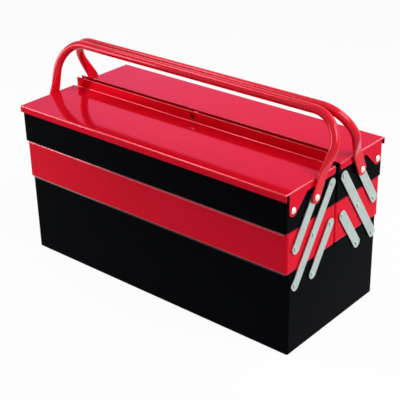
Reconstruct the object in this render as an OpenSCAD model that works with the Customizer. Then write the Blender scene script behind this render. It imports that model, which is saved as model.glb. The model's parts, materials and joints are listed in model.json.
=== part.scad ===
// Cantilever tool box: a sheet steel base, two middle trays and two top trays
// on four sets of swinging links, two hinged lids and two tube handles.
// Millimetres, +Z up. The origin is the middle of the base's underside.
// The long side with negative Y is the front, and the rear mirrors it.

/* [Sheet metal] */
// thickness of every folded sheet
sheet = 1.0; // [0.6:0.1:1.2]
// radius of the upright corners
corner_radius = 2.5; // [1.5:0.5:4]
// height of the hem folded inside each rim
hem_height = 6; // [4:1:8]
// gap between two bodies that rest on one another
stack_gap = 0.3; // [0.3:0.1:0.8]

/* [Base] */
// length of the base and of all the trays
tray_length = 427; // [400:1:600]
// depth of the base from front to rear
base_width = 182; // [176:1:200]
// height of the base
base_height = 110; // [104:1:122]
// radius of the rolled bead along the long rims
bead_radius = 1.5; // [1:0.1:2]
// how far the bead stands out from the wall
bead_out = 2.0; // [1:0.1:2.5]
// distance of a bead's ends from the round corners
bead_end_gap = 1; // [0.5:0.5:3]

/* [Trays] */
// how far a middle tray stands out past the base
mid_step = 3.6; // [2.8:0.1:6]
// height of a middle tray
mid_height = 52.5; // [50:0.5:58]
// how far a top tray stands out past its middle tray
top_step = 3.4; // [2.8:0.1:6]
// height from a top tray's underside to its lid
top_height = 49.5; // [48:0.1:58]
// gap between a top tray's rim and the lid that swings over it
rim_gap = 1.8; // [0.3:0.1:3]
// gap between the front and rear trays of one level
centre_gap = 1.5; // [1:0.1:3]
// width of the ledge folded under each lid's inner edge
ledge_width = 8.5; // [7:0.5:12]
// distance of the dividers' top edges below the rim of their tray
divider_drop = 13; // [8:1:20]
// foot folded at the bottom of a divider
divider_foot = 9; // [6:1:14]
// gap between a divider and the walls beside it
divider_gap = 0.2; // [0.1:0.1:0.5]

/* [Lids] */
// outer radius of the folds along a lid's front and end edges
fold_radius = 1.8; // [1.4:0.1:2.5]
// gap between a lid's end flanges and the trays' end walls
lid_end_gap = 0.5; // [0.4:0.1:0.8]
// gap between a lid's front flange and its tray
lid_front_gap = 1.0; // [0.6:0.1:2]
// height of the lid's flanges from its top face down
lid_flange = 9; // [7:0.5:11]
// distance of each upright lip from the centre plane
lip_offset = 3.8; // [3:0.1:5]
// height of the lip above the lid's top face
lip_height = 13.5; // [12.5:0.5:16]
// how much shorter the lip is than the lid at each end
lip_end_inset = 9; // [5:1:16]
// radius of the padlock hole in the lip
padlock_radius = 4; // [3:0.5:4.5]
// height of the padlock hole above the lid's top face
padlock_height = 7.4; // [6:0.1:8]
// corner cut off the inner end of each end flange
flange_corner = 2; // [1:0.5:5]
// distance of the lid's pivot from the lid's front face
lid_pivot_inset = 14; // [12:0.5:18]
// distance of the lid's pivot below the lid's top face
lid_pivot_drop = 23.5; // [22:0.1:30]
// radius of the lid's hinge tab round its pivot
tab_radius = 7.5; // [6:0.5:7.5]
// reach of the tab's sloping edge along the end flange
tab_reach = 26; // [18:1:30]

/* [Links] */
// height between neighbouring pivots of a link when the box is shut
link_rise = 51.5; // [48:0.1:52.5]
// distance of the innermost top pivot from the tray's inner wall
centre_pivot_inset = 11.75; // [10:0.25:14]
// width of a link
link_width = 13; // [11:0.5:14.5]
// thickness of a link
link_sheet = 1.5; // [1.2:0.1:2]
// distance of the outer base pivot from the base's long side
base_pivot_inset = 10; // [7:0.5:13]
// distance of the base pivots below the base's rim
base_pivot_drop = 18; // [16.5:0.5:24]
// how much lower the upper short link sits
upper_link_drop = 3.5; // [2:0.5:5]
// gap between faces that turn on one another
face_gap = 0.3; // [0.3:0.05:0.5]
// thickness of the washers between links and walls
washer_sheet = 0.7; // [0.5:0.1:1.2]
// radius of the washers
washer_radius = 5.5; // [4.5:0.5:6.5]

/* [Rivets] */
// radius of the rivets' shanks
shank_radius = 2.5; // [2:0.1:2.8]
// radial clearance of a hole that turns on a shank
pivot_fit = 0.08; // [0.03:0.01:0.1]
// radial clearance of a hole that a shank is closed into
wall_fit = 0.03; // [0.02:0.01:0.1]
// radius of the flat heads on the links
flat_head_radius = 3.2; // [3:0.1:4.5]
// height of the flat heads
flat_head_height = 0.6; // [0.5:0.1:1.4]
// radius of the hollow in a flat head
hollow_radius = 1.0; // [0.6:0.1:1.6]
// depth of the hollow in a flat head
hollow_depth = 0.4; // [0.2:0.1:0.5]
// radius of the domed heads on handles and lids
dome_radius = 4.2; // [3.6:0.1:5]
// height of the domed heads
dome_height = 2.2; // [1.6:0.1:3]
// height of the closed heads inside the walls
inner_head_height = 1.2; // [0.8:0.1:2]

/* [Handles] */
// diameter of the handle tube
tube_diameter = 11; // [9:0.5:12]
// distance from the handle's pivot to the middle of the grip
handle_reach = 94; // [88:1:120]
// gap between the two grips when the box is shut
grip_gap = 2; // [1:0.5:6]
// radius of the handle's bends on the tube's centre line
bend_radius = 38; // [30:1:42]
// distance of the tube's centre line from the blade's inner face
tube_offset = 6.5; // [6:0.5:9]
// width of the flattened blade at each end of a handle
blade_width = 16; // [14:0.5:18]
// thickness of the blade
blade_thickness = 3; // [2.4:0.2:4]
// length of the flat blade above its pivot
blade_length = 36; // [30:1:38]

/* [Hidden] */
$fn = 64;
// how far a cut runs past the face it opens
over = 1;
// how far pieces of one solid run into one another
bite = 0.1;
black = [0.03, 0.03, 0.04];
red = [0.75, 0.03, 0.08];
zinc = [0.66, 0.70, 0.69];
cream = [0.90, 0.86, 0.72];

// half lengths along X and the faces stacked on each end wall
end_wall = tray_length / 2;
lid_end = end_wall + lid_end_gap + sheet;
link_in = end_wall + washer_sheet + face_gap;
link_out = link_in + link_sheet;
blade_in = link_out;
blade_out = blade_in + blade_thickness;
tube_x = blade_in + tube_offset;

// depths of the long walls from the centre plane
base_side = base_width / 2;
mid_side = base_side + mid_step;
top_side = mid_side + top_step;
lid_side = top_side + lid_front_gap + sheet;
inner_side = centre_gap / 2;

// heights of the levels
mid_floor = base_height + stack_gap;
mid_rim = mid_floor + mid_height;
top_floor = mid_rim + stack_gap;
lid_under = top_floor + top_height;
lid_top = lid_under + sheet;

// pivots as [Y, Z] on the front side, when the box is shut
base_outer = [-base_side + base_pivot_inset, base_height - base_pivot_drop];
link_run = (-inner_side - centre_pivot_inset - base_outer[0]) / 2;
link_step = [link_run, link_rise];
base_inner = base_outer + [link_run, 0];
mid_middle = base_outer + link_step;
mid_inner = base_inner + link_step;
mid_outer = mid_middle - [link_run, upper_link_drop];
top_inner = mid_middle + link_step;
top_outer = mid_outer + link_step;
lid_pivot = [-lid_side + lid_pivot_inset, lid_top - lid_pivot_drop];

// a top tray's rim stays inside the circle that its lid's underside sweeps
lid_sweep = lid_under - lid_pivot[1] - rim_gap;
rim_reach = top_side + lid_pivot[0];
top_rim = lid_pivot[1] + sqrt(lid_sweep * lid_sweep - rim_reach * rim_reach);

// lean of a handle that brings its grip beside the centre plane
grip_side = (grip_gap + tube_diameter) / 2;
handle_lean = asin((-top_outer[0] - grip_side) / handle_reach);

// a rectangle with round corners, from corner to corner
module plan(half_x, y0, y1, inset) {
  r = max(corner_radius - inset, 0.5);
  x = half_x - inset;
  a = y0 + inset;
  b = y1 - inset;
  translate([-x + r, a]) square([2 * (x - r), b - a]);
  translate([-x, a + r]) square([2 * x, b - a - 2 * r]);
  for (cx = [-x + r, x - r], cy = [a + r, b - r]) {
    translate([cx, cy]) circle(r = r);
  }
}

// an open pan with its rim hemmed inside
module pan(y0, y1, z0, height) {
  difference() {
    translate([0, 0, z0])
      linear_extrude(height) plan(end_wall, y0, y1, 0);
    translate([0, 0, z0 + sheet])
      linear_extrude(height - sheet - hem_height) plan(end_wall, y0, y1, sheet);
    translate([0, 0, z0 + height - hem_height - bite])
      linear_extrude(hem_height + over) plan(end_wall, y0, y1, 2 * sheet);
  }
}

// the rolled bead along the outside of a front rim
module rim_bead(side, rim) {
  half = end_wall - corner_radius - bead_end_gap;
  translate([-half, -side - bead_out + bead_radius, rim - bead_radius])
    rotate([0, 90, 0]) cylinder(r = bead_radius, h = 2 * half);
}

// a round bar along X at a pivot, from x0 to x1 on the right
module bar(pivot, radius, x0, x1) {
  translate([x0, pivot[0], pivot[1]])
    rotate([0, 90, 0]) cylinder(r = radius, h = x1 - x0);
}

// what follows, at both ends of the box
module both_ends() {
  children();
  mirror([1, 0, 0]) children();
}

// what follows, on the front and mirrored to the rear
module both_sides() {
  children();
  mirror([0, 1, 0]) children();
}

// holes through both end walls for closed shanks
module wall_holes(pivots) {
  both_ends()
    for (p = pivots) {
      bar(p, shank_radius + wall_fit, end_wall - sheet - over, end_wall + over);
    }
}

// a flat headed rivet that carries a link
module flat_rivet(pivot) {
  head_in = link_out + face_gap;
  head_out = head_in + flat_head_height;
  difference() {
    union() {
      bar(pivot, flat_head_radius, end_wall - sheet - inner_head_height, end_wall - sheet);
      bar(pivot, shank_radius, end_wall - sheet - bite, head_in + bite);
      bar(pivot, flat_head_radius, head_in, head_out);
    }
    bar(pivot, hollow_radius, head_out - hollow_depth, head_out + over);
  }
}

// a dome headed rivet whose head starts at x0
module dome_rivet(pivot, x0) {
  ball = (dome_radius * dome_radius + dome_height * dome_height) / (2 * dome_height);
  bar(pivot, flat_head_radius, end_wall - sheet - inner_head_height, end_wall - sheet);
  bar(pivot, shank_radius, end_wall - sheet - bite, x0 + bite);
  translate([x0, pivot[0], pivot[1]]) rotate([0, 90, 0])
    rotate_extrude() intersection() {
      translate([0, dome_height - ball]) circle(r = ball);
      square([dome_radius + over, dome_height + over]);
    }
}

// a washer on the outside of an end wall
module washer(pivot) {
  difference() {
    bar(pivot, washer_radius, end_wall, end_wall + washer_sheet);
    bar(pivot, shank_radius + wall_fit, end_wall - over, end_wall + washer_sheet + over);
  }
}

// a straight link from pivot p to pivot q, with holes at the pivots given
module link(p, q, holes) {
  run = norm(q - p);
  lean = atan2(q[0] - p[0], q[1] - p[1]);
  difference() {
    translate([link_in, p[0], p[1]]) rotate([-lean, 0, 0]) {
      translate([0, -link_width / 2, 0]) cube([link_sheet, link_width, run]);
      rotate([0, 90, 0]) cylinder(r = link_width / 2, h = link_sheet);
      translate([0, 0, run])
        rotate([0, 90, 0]) cylinder(r = link_width / 2, h = link_sheet);
    }
    for (c = holes) {
      bar(c, shank_radius + pivot_fit, link_in - over, link_out + over);
    }
  }
}

module long_link() {
  link(base_outer, top_inner, [base_outer, mid_middle, top_inner]);
}

module lower_link() {
  link(base_inner, mid_inner, [base_inner, mid_inner]);
}

module upper_link() {
  link(mid_outer, top_outer, [mid_outer, top_outer]);
}

// an upright divider at x with its foot on the floor of a tray
module divider(x, y0, y1, floor_z, rim_z) {
  a = y0 + sheet + divider_gap;
  b = y1 - sheet - divider_gap;
  foot_z = floor_z + sheet;
  translate([x - sheet / 2, a, foot_z])
    cube([sheet, b - a, rim_z - divider_drop - foot_z]);
  translate([x - sheet / 2, a, foot_z])
    cube([divider_foot, b - a, sheet]);
}

// the end of a lid in the YZ plane: a flange that drops into a hinge tab
module lid_end_outline() {
  flange_low = lid_top - lid_flange;
  corner = [lid_pivot[0] + tab_reach, flange_low];
  toward = corner - lid_pivot;
  aim = atan2(toward[1], toward[0]) - acos(tab_radius / norm(toward));
  touch = lid_pivot + tab_radius * [cos(aim), sin(aim)];
  front = lid_pivot[0] - tab_radius;
  polygon([
    [front, lid_under + sheet / 2],
    [front, lid_pivot[1]],
    touch,
    corner,
    [-lip_offset - sheet - flange_corner, flange_low],
    [-lip_offset - sheet, flange_low + flange_corner],
    [-lip_offset - sheet, lid_under + sheet / 2]
  ]);
  translate(lid_pivot) circle(r = tab_radius);
}

// a rectangle from a to b whose two top corners are round
module round_top(a, b, low, high, r) {
  translate([a, low]) square([b - a, high - r - low]);
  translate([a + r, low]) square([b - a - 2 * r, high - low]);
  for (x = [a + r, b - r]) {
    translate([x, high - r]) circle(r = r);
  }
}

// a block with round top edges, inset from the lid's outside
module lid_block(inset) {
  low = lid_pivot[1] - tab_radius - over;
  high = lid_top - inset;
  half = lid_end - inset;
  side = lid_side - inset;
  r = fold_radius - inset;
  intersection() {
    translate([-lid_end - over, 0, 0]) rotate([90, 0, 90])
      linear_extrude(2 * (lid_end + over)) round_top(-side, side, low, high, r);
    translate([0, lid_side + over, 0]) rotate([90, 0, 0])
      linear_extrude(2 * (lid_side + over)) round_top(-half, half, low, high, r);
  }
}

// the whole lid in the YZ plane: top, front flange and ends
module lid_outline() {
  fold = fold_radius - sheet;
  plate = lid_side - lip_offset - sheet;
  translate([-lid_side, lid_under - fold]) square([plate, sheet + fold]);
  translate([-lid_side, lid_top - lid_flange]) square([sheet, lid_flange]);
  lid_end_outline();
}

module lid() {
  lip_half = lid_end - lip_end_inset;
  difference() {
    union() {
      intersection() {
        difference() {
          lid_block(0);
          lid_block(sheet);
        }
        translate([-lid_end - over, 0, 0]) rotate([90, 0, 90])
          linear_extrude(2 * (lid_end + over)) lid_outline();
      }
      translate([-lip_half, -lip_offset - sheet, lid_under])
        cube([2 * lip_half, sheet, sheet + lip_height]);
    }
    both_ends()
      bar(lid_pivot, shank_radius + pivot_fit, lid_end - sheet - over, lid_end + over);
    translate([0, -lip_offset + over, lid_top + padlock_height])
      rotate([90, 0, 0]) cylinder(r = padlock_radius, h = sheet + 2 * over);
  }
}

// half a handle: blade, flattened neck, bend and half the grip
module handle_half() {
  bend_z = handle_reach - bend_radius;
  rotate([0, 90, 0]) translate([0, 0, blade_in])
    cylinder(r = blade_width / 2, h = blade_thickness);
  translate([blade_in, -blade_width / 2, 0])
    cube([blade_thickness, blade_width, blade_length]);
  hull() {
    translate([blade_in, -blade_width / 2, blade_length - bite])
      cube([blade_thickness, blade_width, bite]);
    translate([tube_x, 0, bend_z - bite]) cylinder(d = tube_diameter, h = bite, $fn = 32);
  }
  translate([tube_x - bend_radius, 0, bend_z]) rotate([90, 0, 0])
    rotate_extrude(angle = 90) translate([bend_radius, 0]) circle(d = tube_diameter);
  translate([-bite, 0, handle_reach]) rotate([0, 90, 0])
    cylinder(d = tube_diameter, h = tube_x - bend_radius + bite);
}

module handle() {
  difference() {
    translate([0, top_outer[0], top_outer[1]]) rotate([-handle_lean, 0, 0])
      both_ends() handle_half();
    both_ends()
      bar(top_outer, shank_radius + pivot_fit, blade_in - over, blade_out + over);
  }
}

module base_box() {
  color(black) difference() {
    union() {
      pan(-base_side, base_side, 0, base_height);
      both_sides() rim_bead(base_side, base_height);
    }
    both_sides() wall_holes([base_outer, base_inner]);
  }
}

module base_rivets() {
  color(zinc) both_sides() both_ends()
    for (p = [base_outer, base_inner]) flat_rivet(p);
}

module base_washers() {
  color(zinc) both_sides() both_ends()
    for (p = [base_outer, base_inner]) washer(p);
}

module front_mid_tray() {
  color(red) difference() {
    union() {
      pan(-mid_side, -inner_side, mid_floor, mid_height);
      rim_bead(mid_side, mid_rim);
    }
    wall_holes([mid_outer, mid_middle, mid_inner]);
  }
}

module front_mid_divider() {
  color(black) divider(0, -mid_side, -inner_side, mid_floor, mid_rim);
}

module front_mid_rivets() {
  color(zinc) both_ends()
    for (p = [mid_outer, mid_middle, mid_inner]) flat_rivet(p);
}

module front_mid_washers() {
  color(zinc) both_ends()
    for (p = [mid_outer, mid_middle, mid_inner]) washer(p);
}

module front_top_tray() {
  ledge_top = lid_under - stack_gap;
  ledge_half = end_wall - corner_radius;
  color(black) difference() {
    union() {
      pan(-top_side, -inner_side, top_floor, top_rim - top_floor);
      translate([-ledge_half, -inner_side - sheet, top_rim - bite])
        cube([2 * ledge_half, sheet, ledge_top - top_rim + bite]);
      translate([-ledge_half, -inner_side - ledge_width, ledge_top - sheet])
        cube([2 * ledge_half, ledge_width, sheet]);
    }
    wall_holes([top_inner, top_outer, lid_pivot]);
  }
}

module front_top_dividers() {
  color(black)
    for (x = [-tray_length / 6, tray_length / 6]) {
      divider(x, -top_side, -inner_side, top_floor, top_rim);
    }
}

module front_top_rivets() {
  color(zinc) both_ends() flat_rivet(top_inner);
}

module front_top_washers() {
  color(zinc) both_ends()
    for (p = [top_inner, top_outer]) washer(p);
}

module front_handle_rivets() {
  color(cream) both_ends() dome_rivet(top_outer, blade_out + face_gap);
}

module front_lid_rivets() {
  color(cream) both_ends() dome_rivet(lid_pivot, lid_end + face_gap);
}

module front_lid() {
  color(red) lid();
}

module front_handle() {
  color(red) handle();
}

module front_long_link_left() {
  color(zinc) mirror([1, 0, 0]) long_link();
}

module front_long_link_right() {
  color(zinc) long_link();
}

module front_lower_link_left() {
  color(zinc) mirror([1, 0, 0]) lower_link();
}

module front_lower_link_right() {
  color(zinc) lower_link();
}

module front_upper_link_left() {
  color(zinc) mirror([1, 0, 0]) upper_link();
}

module front_upper_link_right() {
  color(zinc) upper_link();
}

module rear_mid_tray() {
  mirror([0, 1, 0]) front_mid_tray();
}

module rear_mid_divider() {
  mirror([0, 1, 0]) front_mid_divider();
}

module rear_mid_rivets() {
  mirror([0, 1, 0]) front_mid_rivets();
}

module rear_mid_washers() {
  mirror([0, 1, 0]) front_mid_washers();
}

module rear_top_tray() {
  mirror([0, 1, 0]) front_top_tray();
}

module rear_top_dividers() {
  mirror([0, 1, 0]) front_top_dividers();
}

module rear_top_rivets() {
  mirror([0, 1, 0]) front_top_rivets();
}

module rear_top_washers() {
  mirror([0, 1, 0]) front_top_washers();
}

module rear_handle_rivets() {
  mirror([0, 1, 0]) front_handle_rivets();
}

module rear_lid_rivets() {
  mirror([0, 1, 0]) front_lid_rivets();
}

module rear_lid() {
  mirror([0, 1, 0]) front_lid();
}

module rear_handle() {
  mirror([0, 1, 0]) front_handle();
}

module rear_long_link_left() {
  mirror([0, 1, 0]) front_long_link_left();
}

module rear_long_link_right() {
  mirror([0, 1, 0]) front_long_link_right();
}

module rear_lower_link_left() {
  mirror([0, 1, 0]) front_lower_link_left();
}

module rear_lower_link_right() {
  mirror([0, 1, 0]) front_lower_link_right();
}

module rear_upper_link_left() {
  mirror([0, 1, 0]) front_upper_link_left();
}

module rear_upper_link_right() {
  mirror([0, 1, 0]) front_upper_link_right();
}

base_box();
base_rivets();
base_washers();
front_mid_tray();
front_mid_divider();
front_mid_rivets();
front_mid_washers();
front_top_tray();
front_top_dividers();
front_top_rivets();
front_top_washers();
front_handle_rivets();
front_lid_rivets();
front_lid();
front_handle();
front_long_link_left();
front_long_link_right();
front_lower_link_left();
front_lower_link_right();
front_upper_link_left();
front_upper_link_right();
rear_mid_tray();
rear_mid_divider();
rear_mid_rivets();
rear_mid_washers();
rear_top_tray();
rear_top_dividers();
rear_top_rivets();
rear_top_washers();
rear_handle_rivets();
rear_lid_rivets();
rear_lid();
rear_handle();
rear_long_link_left();
rear_long_link_right();
rear_lower_link_left();
rear_lower_link_right();
rear_upper_link_left();
rear_upper_link_right();
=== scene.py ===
"""Looks of a cantilever tool box, laid over its packed solids.

Enamelled sheet steel, zinc links, riveted pivots and bent tube handles.
"""

import json
from math import asin, cos, pi, radians, sin, sqrt

import bmesh
import bpy
from mathutils import Matrix, Vector


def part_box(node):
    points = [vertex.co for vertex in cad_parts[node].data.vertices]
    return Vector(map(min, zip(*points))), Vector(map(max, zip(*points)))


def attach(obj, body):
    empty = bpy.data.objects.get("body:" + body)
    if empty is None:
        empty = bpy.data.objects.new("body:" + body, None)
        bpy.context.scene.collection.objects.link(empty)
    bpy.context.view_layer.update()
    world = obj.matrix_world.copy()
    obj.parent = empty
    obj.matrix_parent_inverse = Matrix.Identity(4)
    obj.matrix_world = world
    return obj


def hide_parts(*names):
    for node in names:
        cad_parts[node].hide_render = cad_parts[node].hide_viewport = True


bl_info = {
    "name": "Cantilever Tool Box",
    "version": (1, 0, 0),
    "blender": (4, 5, 0),
    "location": "View3D > Sidebar > Tool Box",
    "description": "Dresses the packed solids of a cantilever tool box",
    "category": "Object",
}

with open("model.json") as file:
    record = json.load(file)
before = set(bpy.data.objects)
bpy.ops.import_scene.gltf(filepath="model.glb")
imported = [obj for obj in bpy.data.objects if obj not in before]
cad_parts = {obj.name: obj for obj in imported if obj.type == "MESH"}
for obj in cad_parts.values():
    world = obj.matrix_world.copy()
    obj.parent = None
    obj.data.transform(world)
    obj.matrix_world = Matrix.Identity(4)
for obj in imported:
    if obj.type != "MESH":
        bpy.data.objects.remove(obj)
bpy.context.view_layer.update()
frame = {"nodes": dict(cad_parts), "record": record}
RECORD = frame["record"]
BODY_OF = {n: body for body, ns in RECORD["behaviour"]["bodies"].items() for n in ns}
JOINTS = {joint["name"]: joint for joint in RECORD["behaviour"]["joints"]}
SIDES = {"front": 1, "rear": -1}

# lengths are in metres and angles in degrees, unless a line says otherwise
MM = 0.001
# points closer than this are one point
JOIN = 2e-6
# points this close to a height lie at that height
LEVEL = 5 * JOIN
# the face attribute that is 1 on rounded edges, beads and folds
EDGE = "edge"
# triangles that turn by less than this are one flat face
FLAT = 0.5
# a face whose normal rises between these shares of 1 is on a rolled bead or a fold
BEAD_RISE = (0.15, 0.98)
# faces that turn by more than this meet at an edge that is rounded
SHEET_CORNER = 35.0
HEAD_CORNER = 50.0
# faces that turn by more than this are shaded apart
SHADED_APART = 32.0
# how far large faces set the shading of the small ones beside them; 50 favours neither
FLAT_PULL = 80
# edges longer than this run from one end of a lid to the other
LID_RUN = 0.3
# steps round a sheet's edge, the lip's rim and a deep fold
EDGE_STEPS = 2
RIM_STEPS = 3
FOLD_STEPS = 4

# points round a handle's tube, set half a step off its sides
TUBE_POINTS = 40
# rings of a blade's round end, as shares of its half width below the pivot
END_SHARES = (-0.995, -0.97, -0.9, -0.8, -0.65, -0.45, -0.2, 0.0)
# steps from the blade to the bend, and round the bend
NECK_STEPS = 20
BEND_STEPS = 24
# rings of the grip, as shares of the way from its middle to the bend
GRIP_SHARES = (0.75, 0.5, 0.25, 0.02)

# each pattern of the finishes: repeats a metre, octaves, and weight of the fine octaves
PATTERNS = {
    "drift": (9.0, 3.0, 0.5),
    "mottle": (130.0, 3.0, 0.6),
    "rubbing": (320.0, 4.0, 0.7),
    "dust": (700.0, 2.0, 0.6),
    "peel": (420.0, 2.0, 0.5),
    "sheet_wave": (13.0, 1.0, 0.5),
    "cloud": (60.0, 3.0, 0.5),
    "speck": (900.0, 2.0, 0.5),
    # the grain's coordinates are already stretched to its own repeats
    "grain": (1.0, 4.0, 0.65),
}
# the patterns that show only in spots, and the values between which a spot fades in
SPOTS = {"rubbing": (0.42, 0.62), "dust": (0.62, 0.78), "speck": (0.55, 0.75)}
# the noise's middle value
MIDDLE = 0.5
# what thins the enamel, and what roughens it
ENAMEL_THIN = {"drift": 0.35, "mottle": 0.12, "rubbed": 0.8, "all_over": 0.12}
ENAMEL_ROUGH = {"drift": 0.04, "mottle": 0.02, "dust": 0.02, "rubbed": 0.05}
PEEL_DEPTH = 0.1 * MM
WAVE_DEPTH = 4 * MM
# the peel is this much stronger than the wave
PEEL_OVER_WAVE = 2
# the clear gloss that pools on the folds of the enamel
GLOSS_COAT_IOR = 1.6
GLOSS_COAT_ROUGHNESS = 0.05
# what dulls the plate, what it is spared where it is rubbed, and what roughens it
PLATE_DULL = {"cloud": 0.7, "grain": 0.5, "speck": 0.25, "rubbed": 0.3}
PLATE_DULL_RANGE = (0.1, 0.9)
PLATE_ROUGH = {"grain": 0.12, "cloud": 0.1, "speck": 0.08}
GRAIN_DEPTH = 0.1 * MM
GRAIN_STRENGTH = 0.25
# repeats a metre of the brushed grain across and along a link, and all ways on the rest
LINK_GRAIN = (900, 900, 60)
RIVET_GRAIN = (300, 300, 300)
WASHER_GRAIN = (400, 400, 400)

WHITE = (1.0, 1.0, 1.0)
PALE_GREY = (0.7, 0.7, 0.71)
SOFT_SKY = (0.93, 0.96, 1.0)
SKY_STRENGTH = 0.2
# the floor stays this far under the box, so that the two never share a plane
FLOOR_DROP = 0.4 * MM
# share of plain white in the floor where it is seen; the rest carries the shadow
FLOOR_WHITE = 0.93
FILM_WIDTH_MM = 36.0
# each lamp's name, place, aim, width and height, watts and spread
LAMPS = [
    ("top_softbox", (-0.94, -0.32, 1.47), (0.0, 0.0, 0.2), (0.9, 0.3), 6.2, 180.0),
    ("end_top_softbox", (0.68, 1.07, 1.15), (0.2, 0.0, 0.2), (0.9, 0.4), 8.0, 180.0),
    ("back_softbox", (-1.29, 1.34, 0.98), (-0.02, 0.0, 0.21), (2.0, 1.4), 0.08, 28.0),
    ("front_softbox", (-0.75, -0.45, 0.3), (-0.22, 0.0, 0.12), (0.5, 0.4), 4.5, 180.0),
    ("end_softbox", (1.2, 0.05, 1.1), (0.2, 0.04, 0.16), (1.0, 1.0), 4.3, 56.0),
]


def length(name, description, millimetres):
    """A size in metres whose default is given in millimetres."""
    return bpy.props.FloatProperty(
        name=name, description=description, default=millimetres * MM,
        min=0.0, subtype="DISTANCE", unit="LENGTH", precision=5,
    )


def angle(name, description, degrees):
    """An angle whose default is given in degrees."""
    return bpy.props.FloatProperty(
        name=name, description=description, default=radians(degrees),
        subtype="ANGLE", unit="ROTATION",
    )


def colour(name, description, value):
    """A linear colour."""
    return bpy.props.FloatVectorProperty(
        name=name, description=description, default=value, size=3,
        min=0.0, max=1.0, subtype="COLOR",
    )


class SheetSizes(bpy.types.PropertyGroup):
    """Roundings of the folded sheet steel and of the small parts."""

    fold: length("Bottom fold", "Radius of the folds round a tray's floor", 1.4)
    edge: length("Sheet edge", "Rounding of the enamelled edges of the sheet", 0.25)
    lip_foot: length("Lip foot", "Inner radius of the fold between lid and lip", 0.9)
    lip_top: length("Lip top", "Rounding of the lip's upper edge", 0.42)
    link_edge: length("Link edge", "Rounding of a link's stamped edges", 0.22)
    rivet_edge: length("Rivet edge", "Rounding of rivet heads and washers", 0.16)


class HandleSizes(bpy.types.PropertyGroup):
    """Form of the two bent tube handles with their flattened ends."""

    tube: length("Tube", "Diameter of the handle tube", 11.0)
    reach: length("Reach", "Distance from the pivot to the middle of the grip", 94.0)
    bend: length("Bend", "Radius of the bends on the tube's centre line", 38.0)
    offset: length("Offset", "Tube's centre line from the blade's inner face", 6.5)
    blade_width: length("Blade width", "Width of the flattened end", 16.0)
    blade_depth: length("Blade depth", "Thickness of the flattened end", 3.0)
    blade: length("Blade", "Length of the flat above the pivot", 26.0)
    grip_gap: length("Grip gap", "Gap between the two grips when the box is shut", 2.0)


class Finishes(bpy.types.PropertyGroup):
    """Colours of the paints and platings."""

    red: colour("Red enamel", "Colour of the red paint", (0.58, 0.003, 0.012))
    red_thin: colour("Thin red", "Red paint where it runs thin", (0.66, 0.010, 0.032))
    black: colour("Black enamel", "Colour of the black paint", (0.0006, 0.0009, 0.0018))
    black_thin: colour(
        "Thin black", "Black paint where it runs thin", (0.0025, 0.0035, 0.006),
    )
    sheen: colour("Sheen", "Tint of the red paint's reflections", (1.0, 0.3, 1.0))
    zinc: colour("Zinc", "Colour of the bright zinc plate", (0.54, 0.63, 0.60))
    zinc_dull: colour("Dull zinc", "Zinc plate where it has dulled", (0.40, 0.475, 0.46))
    nickel: colour("Warm nickel", "Colour of the domed rivet heads", (0.84, 0.78, 0.66))


class StageSizes(bpy.types.PropertyGroup):
    """The camera and the studio."""

    eye: bpy.props.FloatVectorProperty(
        name="Eye", description="Place of the camera", size=3,
        default=(0.8020, -0.9187, 0.7211), subtype="TRANSLATION", unit="LENGTH",
    )
    azimuth: angle("Azimuth", "Camera's angle round the box from the front", 40.914)
    elevation: angle("Elevation", "Camera's angle above the floor", 26.942)
    roll: angle("Roll", "Camera's turn about its own view", -1.371)
    lens: bpy.props.FloatProperty(
        name="Lens", description="Focal length for a 36 mm wide picture",
        default=94.5, min=1.0, subtype="DISTANCE_CAMERA", unit="CAMERA",
    )
    floor: length("Floor", "Side of the square floor", 24000.0)


GROUPS = {
    "box_sheet": SheetSizes,
    "box_handle": HandleSizes,
    "box_finish": Finishes,
    "box_stage": StageSizes,
}


class Value:
    """The output of a shader node, with the operators of Python numbers."""

    def __init__(self, paint, socket):
        self.paint = paint
        self.socket = socket

    def math(self, operation, *terms):
        """The result of a Math node on these terms."""
        return self.paint.node("Math", {"operation": operation}, dict(enumerate(terms)))

    def __add__(self, other):
        return self.math("ADD", self, other)

    def __radd__(self, other):
        return self.math("ADD", other, self)

    def __sub__(self, other):
        return self.math("SUBTRACT", self, other)

    def __rsub__(self, other):
        return self.math("SUBTRACT", other, self)

    def __mul__(self, other):
        return self.math("MULTIPLY", self, other)

    def __rmul__(self, other):
        return self.math("MULTIPLY", other, self)

    def larger(self, other):
        """The larger of this and the other."""
        return self.math("MAXIMUM", self, other)

    def between(self, low, high):
        """0 below low, 1 above high, and smooth from one to the other."""
        return self.paint.node(
            "MapRange", {"interpolation_type": "SMOOTHSTEP"},
            {"Value": self, "From Min": low, "From Max": high}, "Result",
        )

    def blend(self, first, second):
        """The colour first where this is 0, second where it is 1."""
        # a Mix node's sockets go by number, because its float and colour ones share names
        factor, colour_a, colour_b, colour_out = 0, 6, 7, 2
        return self.paint.node(
            "Mix", {"data_type": "RGBA"},
            {factor: self, colour_a: first, colour_b: second}, colour_out,
        )


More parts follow.
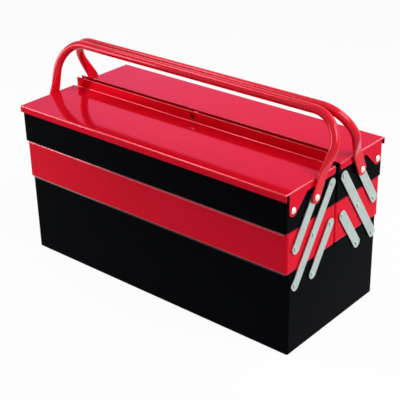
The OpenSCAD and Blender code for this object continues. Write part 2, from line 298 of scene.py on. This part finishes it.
class Paint:
    """The nodes of one material, or of the world."""

    def __init__(self, owner):
        self.owner = owner
        owner.use_nodes = True
        self.tree = owner.node_tree
        self.tree.nodes.clear()

    def node(self, kind, settings=None, inputs=None, output=0):
        """Makes a node, sets it and its inputs, and returns one of its outputs."""
        made = self.tree.nodes.new("ShaderNode" + kind)
        for key, setting in (settings or {}).items():
            setattr(made, key, setting)
        for key, value in (inputs or {}).items():
            self.feed(made.inputs[key], value)
        return Value(self, made.outputs[output]) if made.outputs else None

    def feed(self, socket, value):
        """Links a Value to a socket, or sets a constant there; None leaves it alone."""
        if isinstance(value, Value):
            self.tree.links.new(value.socket, socket)
        elif hasattr(value, "__len__"):
            opaque = (1.0,) if socket.type == "RGBA" else ()
            socket.default_value = tuple(value) + opaque
        elif value is not None:
            socket.default_value = value

    def place(self, scale=(1, 1, 1), turn=(0, 0, 0)):
        """Object coordinates in metres, turned and scaled."""
        there = self.node("TexCoord", output="Object")
        return self.node(
            "Mapping", {"vector_type": "POINT"},
            {"Vector": there, "Rotation": turn, "Scale": scale},
        )

    def pattern(self, name, vector):
        """One of the named patterns, from 0 to 1."""
        scale, detail, roughness = PATTERNS[name]
        shade = self.node(
            "TexNoise", None,
            {"Vector": vector, "Scale": scale, "Detail": detail, "Roughness": roughness},
        )
        return shade.between(*SPOTS[name]) if name in SPOTS else shade

    def edge(self):
        """1 on the rounded edges, beads and folds of a piece."""
        return self.node("Attribute", {"attribute_name": EDGE}, output="Fac")

    def bump(self, height, strength, distance, under=None):
        """Raises the surface by a height, on top of the bump under it."""
        return self.node(
            "Bump", None,
            {"Height": height, "Strength": strength, "Distance": distance, "Normal": under},
            "Normal",
        )

    def seen(self):
        """1 on the camera's own rays, and on those that a mirror or glass sends on."""
        rays = self.node("LightPath").socket.node.outputs
        own, mirrored, through = (
            Value(self, rays[kind])
            for kind in ("Is Camera Ray", "Is Glossy Ray", "Is Transmission Ray")
        )
        return own.larger(mirrored).larger(through)

    def mixed(self, share, first, second):
        """The first shader where share is 0, the second where it is 1."""
        return self.node("MixShader", None, {0: share, 1: first, 2: second})

    def surface(self, **inputs):
        """Ends the material in a Principled BSDF with these inputs."""
        named = {key.replace("_", " "): value for key, value in inputs.items()}
        shader = self.node("BsdfPrincipled", None, named)
        self.node("OutputMaterial", None, {"Surface": shader})
        return self.owner


def enamel(
    name, full, thin, gloss, specular, wave,
    metallic=0.0, coat=0.0, fold_coat=0.0, sheen=WHITE,
):
    """Baked gloss paint: orange peel, a slow wave of the sheet, thin paint on the edges.

    gloss is the roughness of the flats, coat the clear gloss all over and fold_coat how
    much more of it lies on the folds. sheen tints what the paint reflects.
    """
    paint = Paint(bpy.data.materials.new(name))
    there = paint.place()
    drift = paint.pattern("drift", there)
    mottle = paint.pattern("mottle", there)
    dust = paint.pattern("dust", there)
    rubbed = paint.edge() * paint.pattern("rubbing", there)
    share = ENAMEL_THIN
    patchy = (drift - MIDDLE) * share["drift"] + (mottle - MIDDLE) * share["mottle"]
    thinness = patchy + rubbed * share["rubbed"] + share["all_over"]
    share = ENAMEL_ROUGH
    roughness = gloss + drift * share["drift"] + mottle * share["mottle"]
    roughness = roughness + dust * share["dust"] + rubbed * share["rubbed"]
    peel = paint.bump(paint.pattern("peel", there), wave * PEEL_OVER_WAVE, PEEL_DEPTH)
    return paint.surface(
        Base_Color=thinness.between(0.0, 1.0).blend(full, thin),
        Roughness=roughness,
        Metallic=metallic,
        Specular_IOR_Level=specular,
        Specular_Tint=sheen,
        Coat_Weight=paint.edge() * fold_coat + coat,
        Coat_IOR=GLOSS_COAT_IOR,
        Coat_Roughness=GLOSS_COAT_ROUGHNESS,
        Normal=paint.bump(paint.pattern("sheet_wave", there), wave, WAVE_DEPTH, peel),
    )


def plated(name, full, dull, gloss, repeats, turn=(0, 0, 0)):
    """Plate over rolled steel: fine grain one way, dull clouds, a rubbed edge.

    gloss is the roughness of bright plate, repeats and turn set the grain.
    """
    paint = Paint(bpy.data.materials.new(name))
    there = paint.place()
    grain = paint.pattern("grain", paint.place(repeats, turn))
    cloud = paint.pattern("cloud", there)
    speck = paint.pattern("speck", there)
    share = PLATE_DULL
    clouded = cloud * share["cloud"] + (grain - MIDDLE) * share["grain"]
    dullness = clouded + speck * share["speck"] - paint.edge() * share["rubbed"]
    share = PLATE_ROUGH
    roughness = gloss + grain * share["grain"] + cloud * share["cloud"]
    return paint.surface(
        Base_Color=dullness.between(*PLATE_DULL_RANGE).blend(full, dull),
        Roughness=roughness + speck * share["speck"],
        Metallic=1.0,
        Normal=paint.bump(grain, GRAIN_STRENGTH, GRAIN_DEPTH),
    )


def merged_copy(node):
    """A CAD node's mesh with its triangles joined into whole faces."""
    mesh = bmesh.new()
    mesh.from_mesh(frame["nodes"][node].data)
    bmesh.ops.remove_doubles(mesh, verts=mesh.verts, dist=JOIN)
    bmesh.ops.dissolve_limit(
        mesh, angle_limit=radians(FLAT), verts=mesh.verts, edges=mesh.edges,
    )
    layer = mesh.faces.layers.float.new(EDGE)
    least, most = BEAD_RISE
    for face in mesh.faces:
        if least < abs(face.normal.z) < most:
            face[layer] = 1.0
    return mesh


def sharp_edges(mesh, least=SHEET_CORNER):
    """The edges where two faces meet at more than this many degrees."""
    return [
        e for e in mesh.edges
        if len(e.link_faces) == 2 and e.calc_face_angle(0.0) > radians(least)
    ]


def edges_at(mesh, height):
    """The sharp edges that lie at a height."""
    return [
        e for e in sharp_edges(mesh)
        if all(abs(v.co.z - height) < LEVEL for v in e.verts)
    ]


def round_edges(mesh, edges, offset, segments=EDGE_STEPS):
    """Rounds edges and marks the new faces as edge faces."""
    if not edges:
        return
    made = bmesh.ops.bevel(
        mesh, geom=edges, offset=offset, offset_type="OFFSET", segments=segments,
        profile=0.5, affect="EDGES", material=-1, clamp_overlap=True,
    )
    layer = mesh.faces.layers.float[EDGE]
    for face in made["faces"]:
        face[layer] = 1.0


def finished(mesh, node, material):
    """Makes a bmesh an object that stands for a CAD node and rides on its body."""
    name = node + "_finish"
    data = bpy.data.meshes.new(name)
    for face in mesh.faces:
        face.smooth = True
    mesh.to_mesh(data)
    mesh.free()
    data.set_sharp_from_angle(angle=radians(SHADED_APART))
    data.materials.append(material)
    piece = bpy.data.objects.new(name, data)
    bpy.context.scene.collection.objects.link(piece)
    weighted = piece.modifiers.new("Weighted normals", "WEIGHTED_NORMAL")
    weighted.keep_sharp = True
    weighted.weight = FLAT_PULL
    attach(piece, BODY_OF[node])
    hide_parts(node)
    return piece


def both(name):
    """The front and rear nodes of one name."""
    return [f"{side}_{name}" for side in SIDES]


class BOX_OT_stage(bpy.types.Operator):
    """Lays the floor, sets the lights and the camera"""

    bl_idname = "tool_box.stage"
    bl_label = "Stage"

    def execute(self, context):
        sizes = context.scene.box_stage
        self.floor(sizes)
        self.world(context.scene)
        for lamp in LAMPS:
            self.lamp(*lamp)
        self.camera(context.scene, sizes)
        context.scene.view_settings.view_transform = "Standard"
        return {"FINISHED"}

    def floor(self, sizes):
        """Lays a wide square floor under the box."""
        mesh = bmesh.new()
        bmesh.ops.create_grid(mesh, x_segments=1, y_segments=1, size=sizes.floor / 2)
        bmesh.ops.translate(mesh, verts=mesh.verts, vec=(0, 0, -FLOOR_DROP))
        data = bpy.data.meshes.new("floor")
        mesh.to_mesh(data)
        mesh.free()
        floor = bpy.data.objects.new("floor", data)
        bpy.context.scene.collection.objects.link(floor)
        data.materials.append(self.floor_paint())

    def floor_paint(self):
        """A pale floor that the camera sees as white, with the shadow left faint."""
        paint = Paint(bpy.data.materials.new("pale_floor"))
        matt = paint.node("BsdfDiffuse", None, {"Color": PALE_GREY})
        white = paint.node("Emission", None, {"Color": WHITE, "Strength": 1.0})
        mixed = paint.mixed(paint.seen() * FLOOR_WHITE, matt, white)
        paint.node("OutputMaterial", None, {"Surface": mixed})
        return paint.owner

    def world(self, scene):
        """White where it is seen or mirrored, and a soft light elsewhere."""
        scene.world = bpy.data.worlds.new("studio")
        paint = Paint(scene.world)
        sky = paint.node(
            "Background", None, {"Color": SOFT_SKY, "Strength": SKY_STRENGTH},
        )
        white = paint.node("Background", None, {"Color": WHITE, "Strength": 1.0})
        mixed = paint.mixed(paint.seen(), sky, white)
        paint.node("OutputWorld", None, {"Surface": mixed})

    def lamp(self, name, place, target, size, power, spread):
        """Hangs one softbox and turns its face to what it aims at."""
        light = bpy.data.lights.new(name, "AREA")
        light.spread = radians(spread)
        light.shape = "RECTANGLE"
        light.size, light.size_y = size
        light.energy = power
        lamp = bpy.data.objects.new(name, light)
        bpy.context.scene.collection.objects.link(lamp)
        lamp.location = place
        aim = Vector(target) - Vector(place)
        lamp.rotation_euler = aim.to_track_quat("-Z", "Y").to_euler()

    def camera(self, scene, sizes):
        """Sets the camera by its place, its two angles and its roll."""
        data = bpy.data.cameras.new("camera")
        data.sensor_width = FILM_WIDTH_MM
        data.lens = sizes.lens
        camera = bpy.data.objects.new("camera", data)
        scene.collection.objects.link(camera)
        turn, rise = sizes.azimuth, sizes.elevation
        back = Vector((sin(turn) * cos(rise), -cos(turn) * cos(rise), sin(rise)))
        level = Vector((0, 0, 1)).cross(back).normalized()
        upright = back.cross(level)
        right = level * cos(sizes.roll) + upright * sin(sizes.roll)
        top = upright * cos(sizes.roll) - level * sin(sizes.roll)
        camera.matrix_world = (
            Matrix.Translation(sizes.eye)
            @ Matrix((right, top, back)).transposed().to_4x4()
        )
        scene.camera = camera


class BOX_OT_shells(bpy.types.Operator):
    """Dresses the base box, the trays and their dividers in enamel"""

    bl_idname = "tool_box.shells"
    bl_label = "Base and trays"

    def execute(self, context):
        sizes = context.scene.box_sheet
        look = context.scene.box_finish
        black = enamel(
            "black_enamel", look.black, look.black_thin,
            gloss=0.14, specular=0.01, wave=0.05, fold_coat=0.5,
        )
        satin = enamel(
            "satin_black", look.black, look.black_thin,
            gloss=0.34, specular=0.05, wave=0.03, fold_coat=0.2,
        )
        red = enamel(
            "red_enamel_tray", look.red, look.red_thin,
            gloss=0.10, specular=0.06, wave=0.04, metallic=0.15, fold_coat=0.8,
            sheen=look.sheen,
        )
        for node in ["base_box"] + both("top_tray"):
            self.pan(node, black, sizes)
        for node in both("mid_tray"):
            self.pan(node, red, sizes)
        for node in both("mid_divider") + both("top_dividers"):
            mesh = merged_copy(node)
            round_edges(mesh, sharp_edges(mesh), sizes.edge)
            finished(mesh, node, satin)
        return {"FINISHED"}

    def pan(self, node, material, sizes):
        """Dresses one folded pan, with deep folds round its floor."""
        mesh = merged_copy(node)
        round_edges(mesh, edges_at(mesh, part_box(node)[0].z), sizes.fold, FOLD_STEPS)
        rest = [e for e in sharp_edges(mesh) if e.calc_length() > sizes.edge]
        round_edges(mesh, rest, sizes.edge)
        finished(mesh, node, material)


class BOX_OT_lids(bpy.types.Operator):
    """Dresses the two folded lids in red enamel"""

    bl_idname = "tool_box.lids"
    bl_label = "Lids"

    def execute(self, context):
        sizes = context.scene.box_sheet
        look = context.scene.box_finish
        red = enamel(
            "red_enamel_lid", look.red, look.red_thin,
            gloss=0.05, specular=0.05, wave=0.03, metallic=0.3, fold_coat=0.8,
            sheen=look.sheen,
        )
        for node in both("lid"):
            mesh = merged_copy(node)
            # of a lid's long edges only the lip's foot is an inner corner
            foot = [
                e for e in sharp_edges(mesh)
                if e.calc_length() > LID_RUN and e.calc_face_angle_signed() < 0
            ]
            round_edges(mesh, foot, sizes.lip_foot, FOLD_STEPS)
            rim = edges_at(mesh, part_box(node)[1].z)
            round_edges(mesh, rim, sizes.lip_top, RIM_STEPS)
            round_edges(mesh, sharp_edges(mesh), sizes.edge)
            finished(mesh, node, red)
        return {"FINISHED"}


class BOX_OT_links(bpy.types.Operator):
    """Dresses the swinging links in brushed zinc, with the grain along each link"""

    bl_idname = "tool_box.links"
    bl_label = "Links"

    def execute(self, context):
        sizes = context.scene.box_sheet
        look = context.scene.box_finish
        for side, sign in SIDES.items():
            # shut, a link leans from upright by half of what it swings
            lean = radians(JOINTS[f"{side}_open"]["range_deg"][1]) / 2
            zinc = plated(
                f"zinc_{side}_links", look.zinc, look.zinc_dull,
                gloss=0.24, repeats=LINK_GRAIN, turn=(sign * lean, 0, 0),
            )
            for kind in ("long", "lower", "upper"):
                for end in ("left", "right"):
                    node = f"{side}_{kind}_link_{end}"
                    mesh = merged_copy(node)
                    round_edges(mesh, sharp_edges(mesh), sizes.link_edge)
                    finished(mesh, node, zinc)
        return {"FINISHED"}


class BOX_OT_rivets(bpy.types.Operator):
    """Dresses the rivets and washers in their platings"""

    bl_idname = "tool_box.rivets"
    bl_label = "Rivets and washers"

    def execute(self, context):
        sizes = context.scene.box_sheet
        look = context.scene.box_finish
        flat = plated(
            "zinc_rivets", look.zinc, look.zinc_dull, gloss=0.2, repeats=RIVET_GRAIN,
        )
        plain = plated(
            "zinc_washers", look.zinc_dull, look.zinc_dull,
            gloss=0.3, repeats=WASHER_GRAIN,
        )
        dome = plated(
            "nickel_rivets", look.nickel, look.nickel, gloss=0.16, repeats=RIVET_GRAIN,
        )
        kinds = [
            (flat, ["base_rivets"] + both("mid_rivets") + both("top_rivets")),
            (plain, ["base_washers"] + both("mid_washers") + both("top_washers")),
            (dome, both("handle_rivets") + both("lid_rivets")),
        ]
        for material, nodes in kinds:
            for node in nodes:
                mesh = merged_copy(node)
                round_edges(mesh, sharp_edges(mesh, HEAD_CORNER), sizes.rivet_edge)
                finished(mesh, node, material)
        return {"FINISHED"}


class BOX_OT_handles(bpy.types.Operator):
    """Bends the two tube handles and flattens their ends"""

    bl_idname = "tool_box.handles"
    bl_label = "Handles"

    def execute(self, context):
        sizes = context.scene.box_handle
        look = context.scene.box_finish
        red = enamel(
            "red_enamel_handle", look.red, look.red_thin,
            gloss=0.07, specular=0.1, wave=0.0, metallic=0.12, coat=0.2,
            sheen=look.sheen,
        )
        for side, sign in SIDES.items():
            pivot = Vector(JOINTS[f"{side}_handle_swing"]["pos_m"])
            node = f"{side}_handle"
            mesh = self.bent_tube(sizes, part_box(node)[1].x)
            aside = (sizes.grip_gap + sizes.tube) / 2
            lean = asin((abs(pivot.y) - aside) / sizes.reach)
            place = Matrix.Translation(pivot) @ Matrix.Rotation(-sign * lean, 4, "X")
            mesh.transform(place)
            finished(mesh, node, red)
        return {"FINISHED"}

    def bent_tube(self, sizes, outside):
        """One handle upright at the origin, made ring by ring from end to end."""
        mesh = bmesh.new()
        step = 2 * pi / TUBE_POINTS
        ring = bmesh.ops.create_circle(mesh, segments=TUBE_POINTS, radius=1.0)["verts"]
        bmesh.ops.rotate(mesh, verts=ring, matrix=Matrix.Rotation(step / 2, 3, "Z"))
        unit = [v.co.xy.copy() for v in ring]
        half = self.stations(sizes, outside)
        mirrored = [(-x, z, pi - turn, w, d) for x, z, turn, w, d in reversed(half)]
        for number, station in enumerate(half + mirrored):
            if number:
                ring = self.next_ring(mesh, ring)
            self.shape(ring, unit, *station)
        ends = [e for e in mesh.edges if e.is_boundary]
        bmesh.ops.holes_fill(mesh, edges=ends, sides=0)
        mesh.faces.layers.float.new(EDGE)
        bmesh.ops.recalc_face_normals(mesh, faces=mesh.faces)
        return mesh

    def next_ring(self, mesh, ring):
        """Extrudes the last ring, and gives the new points in the same order."""
        last = set(ring)
        edges = [e for e in mesh.edges if all(v in last for v in e.verts)]
        grown = bmesh.ops.extrude_edge_only(mesh, edges=edges)["geom"]
        new = {v for v in grown if isinstance(v, bmesh.types.BMVert)}
        return [self.partner(v, new) for v in ring]

    def partner(self, vert, new):
        """The new point that an extrusion made from this one."""
        for edge in vert.link_edges:
            other = edge.other_vert(vert)
            if other in new:
                return other
        raise RuntimeError("the tube's ring lost a point")

    def shape(self, ring, unit, x, z, turn, half_width, half_depth):
        """Sets a ring across the tube at (x, z), as a circle or a flattened one."""
        flat = half_width - half_depth
        across = Vector((cos(turn), 0, sin(turn)))
        for vert, spot in zip(ring, unit):
            side = spot.x * half_depth + (flat if spot.x > 0 else -flat)
            vert.co = Vector((x, side, z)) + across * spot.y * half_depth

    def stations(self, sizes, outside):
        """Rings from the right blade's round end up to the middle of the grip.

        Each is its middle's x and z, the tube's turn there, and half its width and depth.
        """
        tube = sizes.tube / 2
        tube_x = outside - tube
        blade_half = sizes.blade_width / 2
        depth = sizes.blade_depth / 2
        blade_x = tube_x - sizes.offset + depth
        bend_x = tube_x - sizes.bend
        bend_z = sizes.reach - sizes.bend
        rings = []
        for share in END_SHARES:
            wide = blade_half * sqrt(1 - share * share)
            rings.append((blade_x, blade_half * share, 0.0, wide, min(depth, wide)))
        for step in range(NECK_STEPS + 1):
            share = step / NECK_STEPS
            # the depth eases in and out half way between a straight and a soft change
            ease = (share + share * share * (3 - 2 * share)) / 2
            rings.append((
                blade_x + (tube_x - blade_x) * ease,
                sizes.blade + (bend_z - sizes.blade) * share,
                0.0,
                blade_half + (tube - blade_half) * share,
                depth + (tube - depth) * ease,
            ))
        for step in range(1, BEND_STEPS + 1):
            turn = pi / 2 * step / BEND_STEPS
            x = bend_x + sizes.bend * cos(turn)
            z = bend_z + sizes.bend * sin(turn)
            rings.append((x, z, turn, tube, tube))
        for share in GRIP_SHARES:
            rings.append((bend_x * share, sizes.reach, pi / 2, tube, tube))
        return rings


OPERATORS = [
    BOX_OT_stage, BOX_OT_shells, BOX_OT_lids, BOX_OT_links, BOX_OT_rivets, BOX_OT_handles,
]


class BOX_PT_panel(bpy.types.Panel):
    """Lists the pieces of the tool box"""

    bl_label = "Tool Box"
    bl_idname = "BOX_PT_panel"
    bl_space_type = "VIEW_3D"
    bl_region_type = "UI"
    bl_category = "Tool Box"

    def draw(self, context):
        for operator in OPERATORS:
            self.layout.operator(operator.bl_idname)
        for name, group in GROUPS.items():
            column = self.layout.column(heading=group.__doc__)
            for key in group.__annotations__:
                column.prop(getattr(context.scene, name), key)


CLASSES = list(GROUPS.values()) + OPERATORS + [BOX_PT_panel]


def register():
    for cls in CLASSES:
        bpy.utils.register_class(cls)
    for name, group in GROUPS.items():
        setattr(bpy.types.Scene, name, bpy.props.PointerProperty(type=group))


def unregister():
    for name in GROUPS:
        delattr(bpy.types.Scene, name)
    for cls in reversed(CLASSES):
        bpy.utils.unregister_class(cls)


def main():
    register()
    bpy.ops.tool_box.stage()
    bpy.ops.tool_box.shells()
    bpy.ops.tool_box.lids()
    bpy.ops.tool_box.links()
    bpy.ops.tool_box.rivets()
    bpy.ops.tool_box.handles()


if __name__ == "__main__":
    main()
